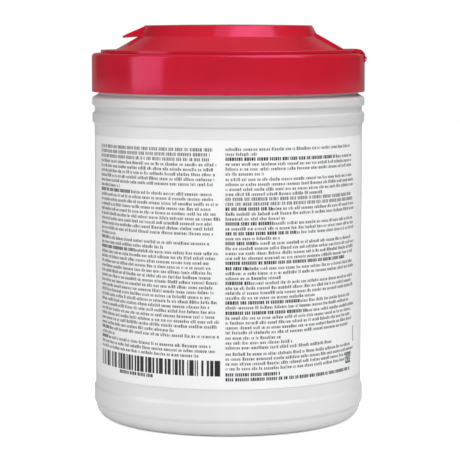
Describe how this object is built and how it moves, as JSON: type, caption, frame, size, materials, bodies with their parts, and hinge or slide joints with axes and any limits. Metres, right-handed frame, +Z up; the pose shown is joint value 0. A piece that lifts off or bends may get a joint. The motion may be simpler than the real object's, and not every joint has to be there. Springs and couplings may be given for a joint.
{
  "type": "disinfecting wipes canister",
  "caption": "Round plastic canister of pull-up disinfecting wipes with a snap-fit lid, a hinged flip cap over the dispensing nozzle and a wound roll inside.",
  "frame": {"origin": "on the canister's axis at the plane of its foot ring", "axes": "+Z up along the canister's axis, the back label faces -Y, the flip cap's thumb tab points to -X and its hinge is at +X"},
  "size_m": [0.1286, 0.128, 0.1851],
  "materials": {
    "shell": "satin off-white blow-moulded polyethylene",
    "label": "smooth white film with fine grey print",
    "closure": "glossy red injection-moulded polypropylene",
    "wipe": "soft damp white nonwoven"
  },
  "bodies": {
    "bottle": {"canister": "shell", "back_label": "label", "front_label": "label", "wipe_roll": "wipe"},
    "closure": {"lid": "closure"},
    "flap": {"flip_cap": "closure"}
  },
  "joints": [
    {"name": "lid_lift", "type": "slide", "parent": "bottle", "child": "closure", "axis": [0, 0, 1], "range_m": [0, 0.04]},
    {"name": "flap_hinge", "type": "hinge", "parent": "closure", "child": "flap", "pos_m": [0.06475, 0, 0.169], "axis": [0, 1, 0], "range_deg": [0, 170]}
  ]
}
